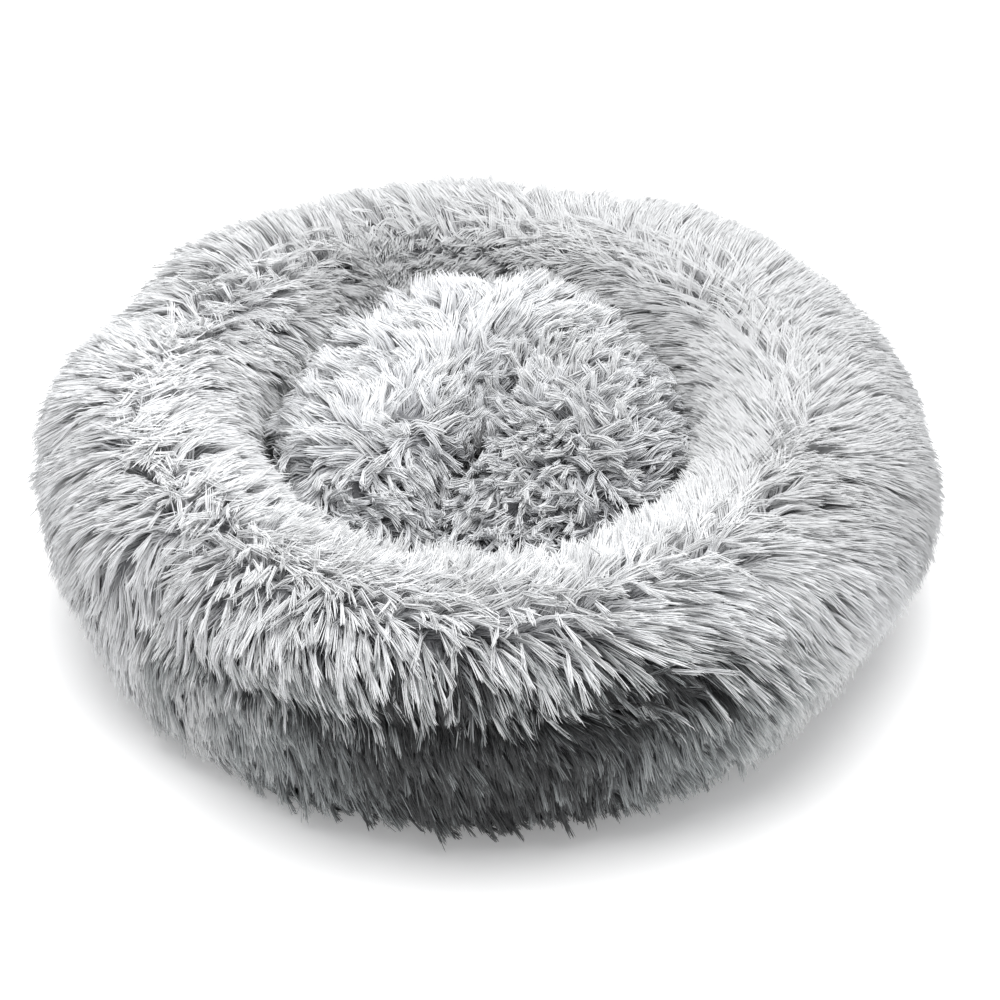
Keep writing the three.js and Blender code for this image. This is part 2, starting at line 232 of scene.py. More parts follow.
def pad_points(around, stacked):
    """The cushion's backing on a grid of azimuth by elevation, from its top to its underside."""
    theta = np.arange(around) * TURN / around
    phi = math.pi / 2 - (np.arange(stacked) + 0.5) * math.pi / stacked
    theta, phi = np.meshgrid(theta, phi, indexing="ij")
    width = PAD_RADIUS + bumps(theta, PAD_BULGES)
    height = np.where(phi > 0, PAD_RISE, PAD_DROP)
    reach = superellipse(np.cos(phi), np.sin(phi), width, height, PAD_POWER)
    x = PAD_CORE[0] + reach * np.cos(phi) * np.cos(theta)
    y = PAD_CORE[1] + reach * np.cos(phi) * np.sin(theta)
    z = PAD_CORE[2] + reach * np.sin(phi)
    upper = smooth(z, PAD_CORE[2] - PAD_SEAM, PAD_CORE[2] + PAD_SEAM)
    z = z + upper * (PAD_TILT * y + pad_lobes(x, y))
    return np.stack([x, y, z], axis=-1)


# ---------- mesh helpers


def link(obj):
    bpy.context.scene.collection.objects.link(obj)
    return obj


def mesh_object(name, points, faces, material):
    mesh = bpy.data.meshes.new(name)
    mesh.from_pydata(np.asarray(points).reshape(-1, 3).tolist(), [], faces)
    mesh.polygons.foreach_set("use_smooth", np.ones(len(faces), bool))
    mesh.materials.append(material)
    return link(bpy.data.objects.new(name, mesh))


def loop_faces(around, stacked, closed):
    """Quads of a grid that wraps round, and up too when closed."""
    faces = []
    for i in range(around):
        for j in range(stacked if closed else stacked - 1):
            n = (i + 1) % around
            k = (j + 1) % stacked
            faces.append((i * stacked + j, n * stacked + j, n * stacked + k, i * stacked + k))
    return faces


def tube_faces(start, sides, rings):
    """Quads between the rings of a tube whose corners are numbered from start."""
    faces = []
    for i in range(rings - 1):
        for k in range(sides):
            a, b = start + i * sides + k, start + i * sides + (k + 1) % sides
            faces.append((a, b, b + sides, a + sides))
    return faces


def coordinates(mesh):
    flat = np.empty(len(mesh.vertices) * 3)
    mesh.vertices.foreach_get("co", flat)
    return flat.reshape(-1, 3)


CLOTH_FRAMES = 20
FILL_PRESSURE = 4


def filled_skin(obj, held_height, cap):
    """Lets the filling press the object's cloth skin out by up to cap, over its held foot."""
    before = coordinates(obj.data)
    group = obj.vertex_groups.new(name="held")
    group.add([int(i) for i in np.flatnonzero(before[:, 2] < held_height)], 1.0, "REPLACE")
    cloth = obj.modifiers.new("cloth", "CLOTH")
    cloth.settings.quality = 4
    cloth.settings.vertex_group_mass = "held"
    cloth.settings.use_pressure = True
    cloth.settings.uniform_pressure_force = FILL_PRESSURE
    cloth.settings.shrink_min = -0.03
    cloth.settings.effector_weights.gravity = 0
    cloth.point_cache.frame_end = CLOTH_FRAMES
    for number in range(1, CLOTH_FRAMES + 1):
        bpy.context.scene.frame_set(number)
    made = obj.evaluated_get(bpy.context.evaluated_depsgraph_get())
    after = coordinates(made.data)
    obj.modifiers.remove(cloth)
    obj.vertex_groups.clear()
    bpy.context.scene.frame_set(1)
    move = after - before
    far = np.linalg.norm(move, axis=1, keepdims=True)
    after = before + move * np.minimum(1, cap / np.maximum(far, 1e-9))
    after[:, 2] = np.maximum(after[:, 2], FOOT_HEIGHT)
    obj.data.vertices.foreach_set("co", after.ravel())
    obj.data.update()


# ---------- skins that fur grows on


class Skin:
    """A backing given on a grid: where a point in space is over it, and how it faces there."""

    def __init__(self, points, wrap):
        self.points, self.wrap = points, wrap
        if wrap:
            du = np.roll(points, -1, 0) - np.roll(points, 1, 0)
            dv = np.roll(points, -1, 1) - np.roll(points, 1, 1)
        else:
            du, dv = np.gradient(points, axis=0), np.gradient(points, axis=1)
        self.du, self.dv = unit(du), unit(dv)
        self.normal = unit(np.cross(du, dv))

    def sample(self, field, u, v):
        """field between its grid points, at fractional places u, v."""
        n, m = field.shape[:2]
        if not self.wrap:
            u, v = np.clip(u, 0, n - 1.001), np.clip(v, 0, m - 1.001)
        i, j = np.floor(u).astype(int), np.floor(v).astype(int)
        a, b = u - i, v - j
        if field.ndim == 3:
            a, b = a[:, None], b[:, None]
        i0, i1, j0, j1 = i % n, (i + 1) % n, j % m, (j + 1) % m
        low = field[i0, j0] * (1 - a) + field[i1, j0] * a
        high = field[i0, j1] * (1 - a) + field[i1, j1] * a
        return low * (1 - b) + high * b

    def axes(self, u, v):
        return (unit(self.sample(field, u, v)) for field in (self.normal, self.du, self.dv))


class RingSkin(Skin):
    AROUND, SECTION = 192, 80

    def __init__(self, radius):
        theta, phi = self.angles()
        self.radius = radius
        super().__init__(ring_point(theta, phi, radius), True)

    @classmethod
    def angles(cls):
        theta = np.arange(cls.AROUND) * TURN / cls.AROUND
        phi = np.arange(cls.SECTION) * TURN / cls.SECTION
        return np.meshgrid(theta, phi, indexing="ij")

    def place(self, theta, phi):
        return theta % TURN / TURN * self.AROUND, phi % TURN / TURN * self.SECTION

    def locate(self, points):
        x, y = points[:, 0] - CORE_X, points[:, 1]
        out = np.hypot(x, y) - CREST_RADIUS
        up = points[:, 2] - CORE_HEIGHT
        u, v = self.place(np.arctan2(y, x), np.arctan2(up, out))
        return u, v, np.hypot(up, out) - self.sample(self.radius, u, v)


class PadSkin(Skin):
    CELLS, HALF = 110, 0.175
    OVERHEAD, BESIDE = 0.4, 0.03  # the height that rays start from, and where they miss the cushion

    def __init__(self, obj):
        tree = BVHTree.FromObject(obj, bpy.context.evaluated_depsgraph_get())
        side = np.linspace(-self.HALF, self.HALF, self.CELLS)
        x, y = np.meshgrid(side, side, indexing="ij")
        z = np.empty_like(x)
        for i in range(self.CELLS):
            for j in range(self.CELLS):
                above = Vector((x[i, j], y[i, j], self.OVERHEAD))
                hit = tree.ray_cast(above, Vector((0, 0, -1)))[0]
                z[i, j] = hit.z if hit else self.BESIDE
        super().__init__(np.stack([x, y, z], axis=-1), False)

    def place(self, x, y):
        scale = (self.CELLS - 1) / (2 * self.HALF)
        return (x + self.HALF) * scale, (y + self.HALF) * scale

    def locate(self, points):
        u, v = self.place(points[:, 0], points[:, 1])
        ground = self.sample(self.points, u, v)[:, 2]
        facing = self.sample(self.normal, u, v)[:, 2]
        return u, v, (points[:, 2] - ground) * facing


# ---------- growing locks

GUIDE_STEPS = 14
STIFFNESS = 0.5  # how far each step of a lock keeps the last one's heading
STEEPEST = 1.1  # how steeply a lock may climb to its lay
LID = 0.010  # locks bend down over this height below the highest
LOWEST = 0.002  # no lock's middle line is lower


def grow(skin, u, v, flow, length, lay, droop, sink, curl, seed):
    """Guide lines of locks: up out of the backing, over, and along the way the fur is combed.

    flow(u, v, point) is the combing as weights of the skin's two directions, and the pile stands
    up where both are small. lay is how far over the backing a lock's tip settles, sink how
    steeply it may drop back to it, droop how much it hangs, and curl how wavy it is.
    """
    source = np.random.default_rng(seed)
    count = len(u)
    point = skin.sample(skin.points, u, v)
    wave_turn = source.uniform(0, TURN, count)
    wave_rate = source.uniform(0.7, 1.5, count) * TURN
    step = length / (GUIDE_STEPS - 1)
    normal = unit(skin.sample(skin.normal, u, v))
    path, normals, heading = [point], [normal], normal
    for k in range(1, GUIDE_STEPS):
        s = k / (GUIDE_STEPS - 1)
        u, v, height = skin.locate(point)
        normal, around, along = skin.axes(u, v)
        by_around, by_along = flow(u, v, point)
        comb = around * by_around[:, None] + along * by_along[:, None]
        comb = comb / np.maximum(np.linalg.norm(comb, axis=1, keepdims=True), 1)
        want = lay * (0.15 + 0.95 * s)
        rise = np.clip((want - height) / step, -sink, STEEPEST)
        pull = comb + normal * rise[:, None]
        pull[:, 2] -= droop * s + 1.5 * smooth(point[:, 2], HIGHEST - LID, HIGHEST)
        side = unit(np.cross(comb, normal))
        swing = wave_turn + wave_rate * s
        pull += curl[:, None] * (side * np.cos(swing)[:, None] + normal * np.sin(swing)[:, None])
        heading = unit(heading * STIFFNESS + unit(pull) * (1 - STIFFNESS))
        point = point + heading * step[:, None]
        point[:, 2] = np.clip(point[:, 2], LOWEST + 0.002 * wave_turn / TURN, HIGHEST)
        path.append(point)
        normals.append(normal)
    return np.stack(path, axis=1), np.stack(normals, axis=1)


LONG_STEPS = np.array([0.0, 0.5, 0.93, 1.0])  # the places of a strand's rings and of its tip
CURLED_STEPS = np.array([0.0, 0.32, 0.64, 0.94, 1.0])
ROOT_DEPTH = 0.001  # roots start this far inside the backing
STRAY_SHARE, STRAY_TIMES = 0.07, 3.0  # how many strands stray further, and how much further

# A kind of fur: its locks, the strands of each and their steps, a strand's thickness, how far
# from a lock's middle its roots are, the radius it gathers to, and how far strands stray from it.
Fur = namedtuple("Fur", "locks strands steps thick spread pencil stray")
RING_PILE = Fur(19500, 10, LONG_STEPS, 0.00074, 0.0048, 0.0013, 0.0011)
PAD_PILE = Fur(2100, 20, CURLED_STEPS, 0.00088, 0.0068, 0.0021, 0.0008)

Strands = namedtuple("Strands", "paths facing calm widths tones")


def fill_locks(pile, skin, u, v, guides, normals, spread, gather, pencil):
    """Strands of every lock: roots spread round the guide's, then gathered into a pencil.

    spread is in the skin's grid steps; gather, for each lock, is how firmly it is clumped.
    """
    steps = pile.steps
    which = np.repeat(np.arange(len(u)), pile.strands)
    total = len(which)
    disc = np.sqrt(rng.uniform(size=total))
    turn = rng.uniform(0, TURN, total)
    a, b = disc * np.cos(turn), disc * np.sin(turn)
    root_u, root_v = u[which] + a * spread[0], v[which] + b * spread[1]
    normal = unit(skin.sample(skin.normal, root_u, root_v))
    root = skin.sample(skin.points, root_u, root_v) - normal * ROOT_DEPTH

    share = steps[None, :] * np.clip(rng.normal(0.92, 0.06, (total, 1)), 0.6, 1.0)
    at = share * (GUIDE_STEPS - 1)
    low = np.clip(np.floor(at).astype(int), 0, GUIDE_STEPS - 2)
    part = (at - low)[..., None]
    row = which[:, None]
    path = guides[row, low] * (1 - part) + guides[row, low + 1] * part
    facing = normals[row, low]
    ahead = unit(guides[row, low + 1] - guides[row, low])
    side = unit(np.cross(ahead, facing))
    up = np.cross(side, ahead)

    s = steps[None, :, None]
    hold = gather[which][:, None, None] * smooth(s, 0.0, 0.55)
    gap = (root - guides[which, 0])[:, None, :]
    bundle = side * a[:, None, None] + up * b[:, None, None]
    path = path + gap * (1 - hold) + bundle * pencil[which][:, None, None] * hold
    loose = np.where(rng.uniform(size=total) < STRAY_SHARE, STRAY_TIMES, 1.0) * pile.stray
    path += rng.normal(size=(total, 1, 3)) * loose[:, None, None] * s**1.5
    return path, facing, which


SIDES = 3  # of a strand
OFF_AXIS = np.array([0.31, 0.27, 0.91])  # strands' sides are square to it
UV_EDGE, UV_WIDTH = 0.01, 0.02  # the UV map's margin, and a strand's width in it


def strand_faces(steps):
    """Corner indices and sizes of one strand's faces: its sides, its tip and its closed root."""
    faces = tube_faces(0, SIDES, steps - 1)
    last = (steps - 2) * SIDES
    faces += [(last + k, last + (k + 1) % SIDES, last + SIDES) for k in range(SIDES)]
    faces.append(tuple(range(SIDES))[::-1])
    return np.concatenate(faces), np.array([len(face) for face in faces])


def strand_mesh(name, strands, steps, material):
    """One mesh of closed tapering strands, whose UV is (tone, share of the length).

    A calm strand is shaded as the skin under it is, since fine fibres pass the light on.
    """
    paths, facing, calm, widths, tones = strands
    count = len(paths)
    tangent = unit(np.gradient(paths, axis=1))
    side = unit(np.cross(tangent, OFF_AXIS))
    other = np.cross(tangent, side)
    turn = rng.uniform(0, TURN, size=(count, 1))
    share = calm[:, None, None]
    rings, normals = [], []
    for k in range(SIDES):
        angle = (turn + TURN * k / SIDES)[..., None]
        offset = np.cos(angle) * side + np.sin(angle) * other
        rings.append(paths + offset * widths[..., None] / 2)
        normals.append(unit(offset * (1 - share) + facing * share))
    body, shade = (np.stack(each, axis=2)[:, :-1].reshape(count, -1, 3) for each in (rings, normals))
    points = np.concatenate([body, paths[:, -1:]], axis=1)
    shade = np.concatenate([shade, facing[:, -1:]], axis=1)
    points[..., 2] = np.clip(points[..., 2], OFF_FLOOR, TOP_LIMIT)

    per = points.shape[1]
    corners, sizes = strand_faces(len(steps))
    loops = (np.arange(count)[:, None] * per + corners[None, :]).ravel()
    totals = np.tile(sizes, count)
    mesh = bpy.data.meshes.new(name)
    mesh.vertices.add(count * per)
    mesh.vertices.foreach_set("co", points.astype(np.float32).ravel())
    mesh.loops.add(len(loops))
    mesh.loops.foreach_set("vertex_index", loops.astype(np.int32))
    mesh.polygons.add(len(totals))
    starts = np.cumsum(totals) - totals
    mesh.polygons.foreach_set("loop_start", starts.astype(np.int32))
    mesh.polygons.foreach_set("loop_total", totals.astype(np.int32))
    mesh.polygons.foreach_set("use_smooth", np.ones(len(totals), bool))
    mesh.materials.append(material)

    along = np.append(np.repeat(steps[:-1], SIDES), 1.0)
    across = np.append(np.tile(np.arange(SIDES) / SIDES * UV_WIDTH, len(steps) - 1), UV_WIDTH / 2)
    uv = np.empty((count, per, 2), np.float32)
    uv[..., 0] = UV_EDGE + (1 - 2 * UV_EDGE - UV_WIDTH) * np.clip(tones, 0, 1)[:, None] + across
    uv[..., 1] = UV_EDGE + (1 - 2 * UV_EDGE) * along
    layer = mesh.uv_layers.new(name="OFBake")
    layer.data.foreach_set("uv", uv.reshape(-1, 2)[loops].ravel())
    mesh.update(calc_edges=True)
    mesh.normals_split_custom_set_from_vertices(shade.reshape(-1, 3))
    return link(bpy.data.objects.new(name, mesh))


def strand_widths(pile, shares):
    """Widths along each strand, which thins by a third towards its blunt tip."""
    taper = 1 - 0.35 * pile.steps**2
    return pile.thick * shares[:, None] * taper * rng.uniform(0.75, 1.25, (len(shares), 1))


def weighed(zones, weights):
    """What the zones add, each by its weight."""
    return sum(weight * getattr(zones, name) for name, weight in weights.items())


# ---------- the ring's fur

CREST_ANGLE = 90 * DEG
SECTION_RADIUS = 0.075  # the ring's, about

# How far the combing is swept round the ring: middle, spread (degrees), weight.
OUTER_SWEEP = ((250, 45, 0.3), (305, 22, 0.6), (140, 40, 0.3))
INNER_SWEEP = ((25, 60, 1.5), (285, 35, 0.6), (125, 35, -0.2))

# What the zones add to the pile's length and to its lay, metres, and to its tone.
RING_LENGTH = 0.046
RING_LENGTHS = {
    "front": 0.004, "inside": -0.006, "crest": -0.010, "low": -0.014, "wavy": -0.003,
    "tight_foot": -0.006, "front_fringe": -0.006, "soft_face": -0.009,
}
RING_LAYS = {"crest": 0.005, "deep": -0.011, "open_wall": 0.014, "low": -0.010}
# Painted shade: the tones darken the covered locks, the front's fringe and the low layer under it, the
# knot, the hollow's wavy wall and the groove at its foot, and the fold; painted light lightens the left
# side.
RING_TONE = 0.62
RING_TONES = {
    "soft_upper": 0.24, "left": 0.06, "covered": -0.36, "front_edge": -0.04, "shaded_edge": -0.60,
    "low": 0.02, "shaded_low": -0.04, "knot": -0.25, "wavy_wall": -0.20, "foot": -0.28,
    "soft_foot": -0.3, "fold": -0.18,
}


def ring_roots(skin, count, seed):
    """Roots spread evenly over the ring's furred face, and closer where the pile is wavy."""
    source = np.random.default_rng(seed)
    theta = source.uniform(0, TURN, count * 5)
    phi = source.uniform(-70 * DEG, 205 * DEG, count * 5)
    radius = skin.sample(skin.radius, *skin.place(theta, phi))
    share = (CREST_RADIUS + radius * np.cos(phi)) * radius
    share = share * (1 + 0.9 * bump(theta, 112, 38) * smooth(phi, CREST_ANGLE, CREST_ANGLE + 0.6))
    keep = source.uniform(size=len(theta)) < share / share.max()
    return theta[keep][:count], phi[keep][:count]


def ring_zones(theta, phi, point):
    """How far each place on the ring belongs to the zones whose pile differs, 0 to 1."""
    z = SimpleNamespace()
    over = turn_gap(phi, CREST_ANGLE)  # how far it is past the crest, inwards
    z.crest = np.exp(-((over / 0.5) ** 2))
    z.inside = smooth(over, -0.2, 0.4)
    # Painted shade: the tone darkens in the groove at the foot of the hollow's wall.
    z.deep = smooth(over, 35 * DEG, 75 * DEG)  # down the wall of the hollow
    z.foot = smooth(over, 65 * DEG, 95 * DEG)  # and into the groove at its foot
    groove = bump(theta, 240, 60)  # where the cushion stands off the wall
    z.open_wall = groove * z.deep
    z.tight_foot = z.foot * (1 - groove)

    z.front = bump(theta, 255, 60)
    hem = 5 * DEG + 22 * DEG * bump(theta, 265, 42)  # the lowest roots of the overhanging fringe
    hem = hem + 7 * DEG * wave_noise(point, 0.12, 61, 2) * (1 - bump(theta, 265, 60))
    tuck = 12 * DEG + 30 * DEG * (1 - bump(theta, 265, 75))
    z.low = smooth((hem - phi) / tuck, 0, 1)  # under the fringe
    edge = smooth(hem - phi, -40 * DEG, 0)
    z.front_edge = z.front * edge
    z.front_fringe = z.front_edge * (1 - z.low)
    z.band = bump(theta, 258, 46) * smooth(hem - phi, -58 * DEG, -22 * DEG) * (1 - z.low)
    # Painted shade: the front's fringe and the low layer under it are darker in tone, most where shade
    # is large.
    shade = bump(theta, 272, 46)
    z.shaded_edge = shade * edge
    z.shaded_low = shade * z.low

    # Painted shade: the tone darkens down the wavy wall at the back left of the hollow.
    z.wavy = z.inside * bump(theta, 130, 40)  # the back left of the hollow
    z.wavy_wall = z.wavy * z.deep
    z.soft = smooth(bump(theta, 30, 95) + 0.3 * bump(theta, 125, 40) * (1 - z.deep), 0.35, 0.75)
    z.soft_face = z.soft * (1 - z.crest)
    z.soft_upper = z.soft * (1 - z.low)
    z.soft_foot = z.soft * z.foot
    z.brushed = np.maximum(z.soft, 0.85 * bump(theta, 182, 42))  # fine and even, as the left is too
    z.rough = 1 - 0.75 * z.brushed
    # Painted light: the left side's tone is lighter.
    z.left = bump(theta, 190, 50)
    # The knot is a pocket in the pile; its tone is darker as painted shade.
    z.knot = bump(theta, 291, 6) * np.exp(-(((phi - 27 * DEG) / (11 * DEG)) ** 2))
    # The fold's tone is darker: painted shade in the crease.
    z.fold = bump(theta, 221, 4) * (1 - z.inside)
    return z


def ring_comb(skin, lean, turned):
    """The way the ring's fur is combed: away from the crest, and swept round it.

    Each lock has its own lean over the crest and is turned a little from its neighbours.
    """

    def flow(u, v, point):
        theta = u / skin.AROUND * TURN
        phi = v / skin.SECTION * TURN
        over = turn_gap(phi, CREST_ANGLE) + 0.25 * wave_noise(point, 0.22, 5, 2) + lean
        inside = smooth(over, -0.4, 0.4)
        swept = (0.15 + bumps(theta, OUTER_SWEEP)) * (1 - inside) + bumps(theta, INNER_SWEEP) * inside
        return swept + 0.4 * wave_noise(point, 0.11, 21, 2) + turned, np.tanh(over / 0.5)

    return flow


def ring_guides(skin, u, v, point, z, source):
    """The ring's guide lines, with their backing's normals and each lock's lay."""
    count = len(u)
    ragged = 0.1 * wave_noise(point, 0.08, 31, 2) + source.normal(0, 0.1, count)
    length = (RING_LENGTH + weighed(z, RING_LENGTHS)) * (1 + z.rough * ragged)
    uneven = 0.2 * wave_noise(point, 0.05, 41, 2) + source.normal(0, 0.2, count)
    lay = RING_LAY * (0.9 + z.rough * uneven) + weighed(z, RING_LAYS)
    # Painted shade: about two in five locks of the band lie under the others and are painted much
    # darker.
    z.covered = 0.95 * z.band * (source.uniform(size=count) < 0.4)  # locks that others lie on
    lay = np.maximum(lay - 0.007 * z.covered, 0.005)
    curl = 0.10 * z.rough + 0.6 * z.wavy + 1.2 * z.knot + 0.06 * np.abs(source.normal(size=count))
    turned = z.rough * (source.normal(0, 0.16, count) + 0.5 * z.crest * source.normal(size=count))
    lean = (0.35 + 0.15 * z.soft) * z.crest * source.normal(size=count)
    flow = ring_comb(skin, lean, turned + 0.8 * z.knot)
    sink = 0.4 - 0.3 * z.front * (1 - z.low)
    droop = 0.4 * (1 - 0.8 * z.inside) + 0.5 * z.low
    return *grow(skin, u, v, flow, length, lay, droop, sink, curl, 5), lay


def ring_tones(point, z, lay, which, source):
    """Each strand's tone: its lock's, and its own."""
    tone = RING_TONE + weighed(z, RING_TONES)
    # Painted shade: locks that lie closer to the backing than most are painted darker, as the shadow of
    # the locks over them.
    under = 22 + 26 * z.shaded_edge  # locks that lie closer than most are under others, and darker
    tone = tone + under * (1 - z.brushed) * (lay - MEAN_LAY) * (1 - z.low) * (1 - z.deep)
    streaky = (1 + 3.2 * z.shaded_edge * (1 - z.low)) * (1 - 0.6 * z.soft)
    tone = tone + 0.06 * (1 - 0.5 * z.soft) * wave_noise(point, 0.07, 51, 3)
    tone = tone + source.normal(0, 0.05, len(point)) * streaky
    return tone[which] + rng.normal(0, 0.05, len(which)) * streaky[which]


def ring_fur(skin, locks):
    theta, phi = ring_roots(skin, locks, 3)
    u, v = skin.place(theta, phi)
    point = skin.sample(skin.points, u, v)
    source = np.random.default_rng(4)
    z = ring_zones(theta, phi, point)
    guides, normals, lay = ring_guides(skin, u, v, point, z, source)

    gather = np.clip(0.9 - 0.7 * z.brushed - 0.15 * z.low + source.normal(0, 0.08, locks), 0.1, 0.97)
    pencil = RING_PILE.pencil * (1 + z.brushed) * source.uniform(0.6, 1.6, locks)
    spread = skin.place(RING_PILE.spread / CREST_RADIUS, RING_PILE.spread / SECTION_RADIUS)
    made = fill_locks(RING_PILE, skin, u, v, guides, normals, spread, gather, pencil)
    paths, facing, which = made
    tone = ring_tones(point, z, lay, which, source)
    calm = (0.27 + 0.62 * z.brushed + 0.15 * z.crest * (1 - z.brushed))[which]
    return Strands(paths, facing, calm, strand_widths(RING_PILE, 1 - 0.1 * z.soft[which]), tone)


# ---------- the centre cushion's fur

PAD_FUR_FOOT = 0.072  # the ring hides the cushion below this height
PAD_FUR_FACING = 0.15  # and it has no fur where its normal rises less than this
PAD_LENGTH = 0.030
PAD_TONE = 0.78
# Tones: painted light on the lobes' tops (high), painted shade in the valley and at the shaded front
# right edge.
PAD_TONES = {"sleek": -0.03, "behind": 0.12, "high": 4, "valley": 25, "shaded_edge": -0.36}


def pad_roots(skin, count, source):
    """Roots spread evenly over the cushion's top and shoulders."""
    x = source.uniform(-skin.HALF, skin.HALF, count * 6)
    y = source.uniform(-skin.HALF, skin.HALF, count * 6)
    u, v = skin.place(x, y)
    ground = skin.sample(skin.points, u, v)[:, 2]
    facing = skin.sample(skin.normal, u, v)[:, 2]
    share = 0.35 / np.clip(facing, 0.2, 1)  # steep places get their share of roots
    keep = (ground > PAD_FUR_FOOT) & (facing > PAD_FUR_FACING)
    keep = keep & (source.uniform(size=len(x)) < share)
    return u[keep][:count], v[keep][:count]


def pad_zones(point):
    """How far each place on the cushion belongs to the zones whose pile differs."""
    z = SimpleNamespace()
    x, y = point[:, 0], point[:, 1]
    off_x, off_y = x - PAD_CORE[0], y - PAD_CORE[1]
    azimuth = np.arctan2(off_y, off_x)
    z.edge = smooth(np.hypot(off_x, off_y), 0.09, 0.135)
    z.behind = z.edge * bump(azimuth, 80, 45)
    z.shaded_edge = z.edge * bump(azimuth, 325, 52)
    left = np.exp(-((x + 0.085) ** 2 + (y - 0.01) ** 2) / 0.055**2)
    back = smooth(y - 0.6 * x, 0.045, 0.10)
    z.sleek = np.maximum(np.maximum(left, back), z.behind)  # smooth, where the rest is clumped
    # Painted light and shade: the tone is lighter on the lobes' tops and darker in the valley between
    # them.
    swell = pad_lobes(x, y)
    z.high, z.valley = np.maximum(swell, 0), np.minimum(swell, 0)  # these two are in metres
    return z


def pad_comb(turned):
    """The way the cushion's fur is combed: off its lobes and outwards, in curls."""

    def flow(u, v, point):
        place = point[:, :2]
        back = smooth(point[:, 1:2], 0.05, 0.10)
        away = (0.25 + 0.5 * back) * unit(place - PAD_CORE[:2])
        for lobe_x, lobe_y, size, _ in PAD_LOBES[:2]:
            off = place - (lobe_x, lobe_y)
            near = np.exp(-np.sum(off**2, axis=1, keepdims=True) / (1.5 * size) ** 2)
            away = away + 2 * near * off / size
        swirl = wave_noise(point, 0.085, 121, 2) + turned
        c, s = np.cos(swirl), np.sin(swirl)
        return away[:, 0] * c - away[:, 1] * s, away[:, 0] * s + away[:, 1] * c

    return flow


def pad_fur(skin, locks):
    source = np.random.default_rng(14)
    u, v = pad_roots(skin, locks, source)
    locks = len(u)
    point = skin.sample(skin.points, u, v)
    z = pad_zones(point)

    length = PAD_LENGTH + 0.004 * z.sleek + source.normal(0, 0.003, locks)
    lay = PAD_LAY * np.exp(source.normal(-0.1, 0.4, locks)) * (1 - 0.35 * z.edge)
    lay = np.maximum(lay, 0.004) + 0.008 * z.behind
    curl = (0.4 + 0.4 * np.abs(source.normal(size=locks))) * (1 - 0.6 * z.sleek)
    flow = pad_comb(source.normal(0, 0.5, locks) * (1 - 0.6 * z.sleek))
    sink = np.full(locks, 0.5)
    guides, normals = grow(skin, u, v, flow, length, lay, 0.1, sink, curl, 15)

    gather = np.clip(source.normal(0.97, 0.02, locks) - 0.45 * z.sleek, 0.3, 0.99)
    pencil = PAD_PILE.pencil * source.uniform(0.6, 1.4, locks)
    spread = (PAD_PILE.spread / (2 * skin.HALF) * skin.CELLS,) * 2
    made = fill_locks(PAD_PILE, skin, u, v, guides, normals, spread, gather, pencil)
    paths, facing, which = made
    tone = PAD_TONE + weighed(z, PAD_TONES) + 0.08 * wave_noise(point, 0.05, 151, 3)
    tone = tone + source.normal(0, 0.15, locks) * (1 - 0.4 * z.sleek)
    # Painted shade: locks that lie under others are painted darker, as their shadow.
    tone = tone + 19 * (1 - z.sleek) * (lay - PAD_LAY)  # locks that lie under others are darker
    tone = tone[which] + rng.normal(0, 0.07, len(which))
    calm = (0.12 + 0.42 * z.sleek + 0.25 * z.behind)[which]
    return Strands(paths, facing, calm, strand_widths(PAD_PILE, np.ones(len(which))), tone)


# ---------- materials

WAVE_PERIOD = 0.314  # metres between the waves of Blender's wave texture at scale 1

# Colours of the fibres' roots and tips, from the deepest tone to the palest. The darker roots are
# painted shade of the pile's depth, and the deepest tones carry the painted shade given to strands in
# shaded places.
RING_ROOTS = (
    (0.0, (0.030, 0.030, 0.032)), (0.4, (0.17, 0.173, 0.185)), (0.66, (0.50, 0.505, 0.52)),
    (0.85, (0.50, 0.505, 0.515)), (1.0, (0.53, 0.535, 0.54)),
)
PAD_ROOTS = (
    (0.0, (0.020, 0.020, 0.022)), (0.4, (0.09, 0.092, 0.102)), (0.7, (0.20, 0.205, 0.22)),
    (0.85, (0.46, 0.465, 0.475)), (1.0, (0.62, 0.625, 0.635)),
)
RING_TIPS = (
    (0.0, (0.06, 0.06, 0.061)), (0.2, (0.42, 0.443, 0.446)), (0.42, (0.74, 0.745, 0.745)),
    (0.62, (0.86, 0.87, 0.88)), (0.70, (0.84, 0.85, 0.86)), (0.80, (0.62, 0.627, 0.632)),
    (1.0, (0.59, 0.595, 0.60)),
)
PAD_TIPS = (
    (0.0, (0.06, 0.06, 0.061)), (0.2, (0.42, 0.423, 0.43)), (0.42, (0.74, 0.75, 0.765)),
    (0.7, (0.81, 0.82, 0.835)), (0.85, (0.73, 0.74, 0.75)), (1.0, (0.75, 0.757, 0.762)),
)


